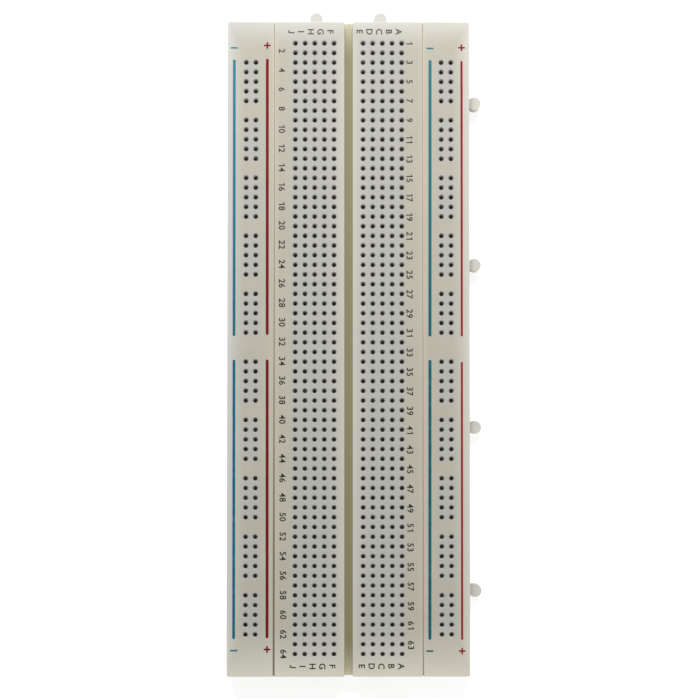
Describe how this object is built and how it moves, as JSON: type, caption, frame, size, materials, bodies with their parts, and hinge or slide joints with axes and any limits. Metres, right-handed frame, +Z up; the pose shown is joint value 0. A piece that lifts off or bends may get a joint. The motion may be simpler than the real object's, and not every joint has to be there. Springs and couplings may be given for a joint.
{
  "type": "solderless breadboard",
  "caption": "Solderless breadboard: a terminal strip between two power rails, with spring clips under countersunk tie points and a self-adhesive back.",
  "frame": {"origin": "on the surface the board lies on, under the middle of the terminal strip (centre of the 171.5 x 63.5 mm body without its tabs)", "axes": "+Z up out of the tie-point face, +Y along the board towards row 1 and the end tabs, +X across it towards the right-hand rail and the side tabs"},
  "size_m": [0.0669, 0.1748, 0.0096],
  "materials": {
    "housing_plastic": "satin moulded ABS, warm white",
    "clip_metal": "nickel-plated spring metal, bright",
    "foam_tape": "closed-cell foam tape, matt",
    "release_liner": "waxed release paper, light sheen",
    "ink_blue": "printed ink, satin",
    "ink_red": "printed ink, satin",
    "ink_dark": "printed ink, satin"
  },
  "bodies": {
    "left_power_rail": {"left_rail_housing": "housing_plastic", "foam_tape_left_rail": "foam_tape", "release_liner_left_rail": "release_liner", "bus_clip_left_blue_upper": "clip_metal", "bus_clip_left_blue_lower": "clip_metal", "bus_clip_left_red_upper": "clip_metal", "bus_clip_left_red_lower": "clip_metal"},
    "terminal_strip": {"terminal_strip_housing": "housing_plastic", "foam_tape_terminal_strip": "foam_tape", "release_liner_terminal_strip": "release_liner", "clips_left_rows_01_08": "clip_metal", "clips_left_rows_09_16": "clip_metal", "clips_left_rows_17_24": "clip_metal", "clips_left_rows_25_32": "clip_metal", "clips_left_rows_33_40": "clip_metal", "clips_left_rows_41_48": "clip_metal", "clips_left_rows_49_56": "clip_metal", "clips_left_rows_57_64": "clip_metal", "clips_right_rows_01_08": "clip_metal", "clips_right_rows_09_16": "clip_metal", "clips_right_rows_17_24": "clip_metal", "clips_right_rows_25_32": "clip_metal", "clips_right_rows_33_40": "clip_metal", "clips_right_rows_41_48": "clip_metal", "clips_right_rows_49_56": "clip_metal", "clips_right_rows_57_64": "clip_metal"},
    "right_power_rail": {"right_rail_housing": "housing_plastic", "foam_tape_right_rail": "foam_tape", "release_liner_right_rail": "release_liner", "bus_clip_right_blue_upper": "clip_metal", "bus_clip_right_blue_lower": "clip_metal", "bus_clip_right_red_upper": "clip_metal", "bus_clip_right_red_lower": "clip_metal"}
  },
  "joints": [
    {"name": "terminal_strip_lift", "type": "slide", "parent": "left_power_rail", "child": "terminal_strip", "axis": [0, 0, 1], "range_m": [0, 0.0042]},
    {"name": "right_power_rail_lift", "type": "slide", "parent": "terminal_strip", "child": "right_power_rail", "axis": [0, 0, 1], "range_m": [0, 0.0042]}
  ]
}
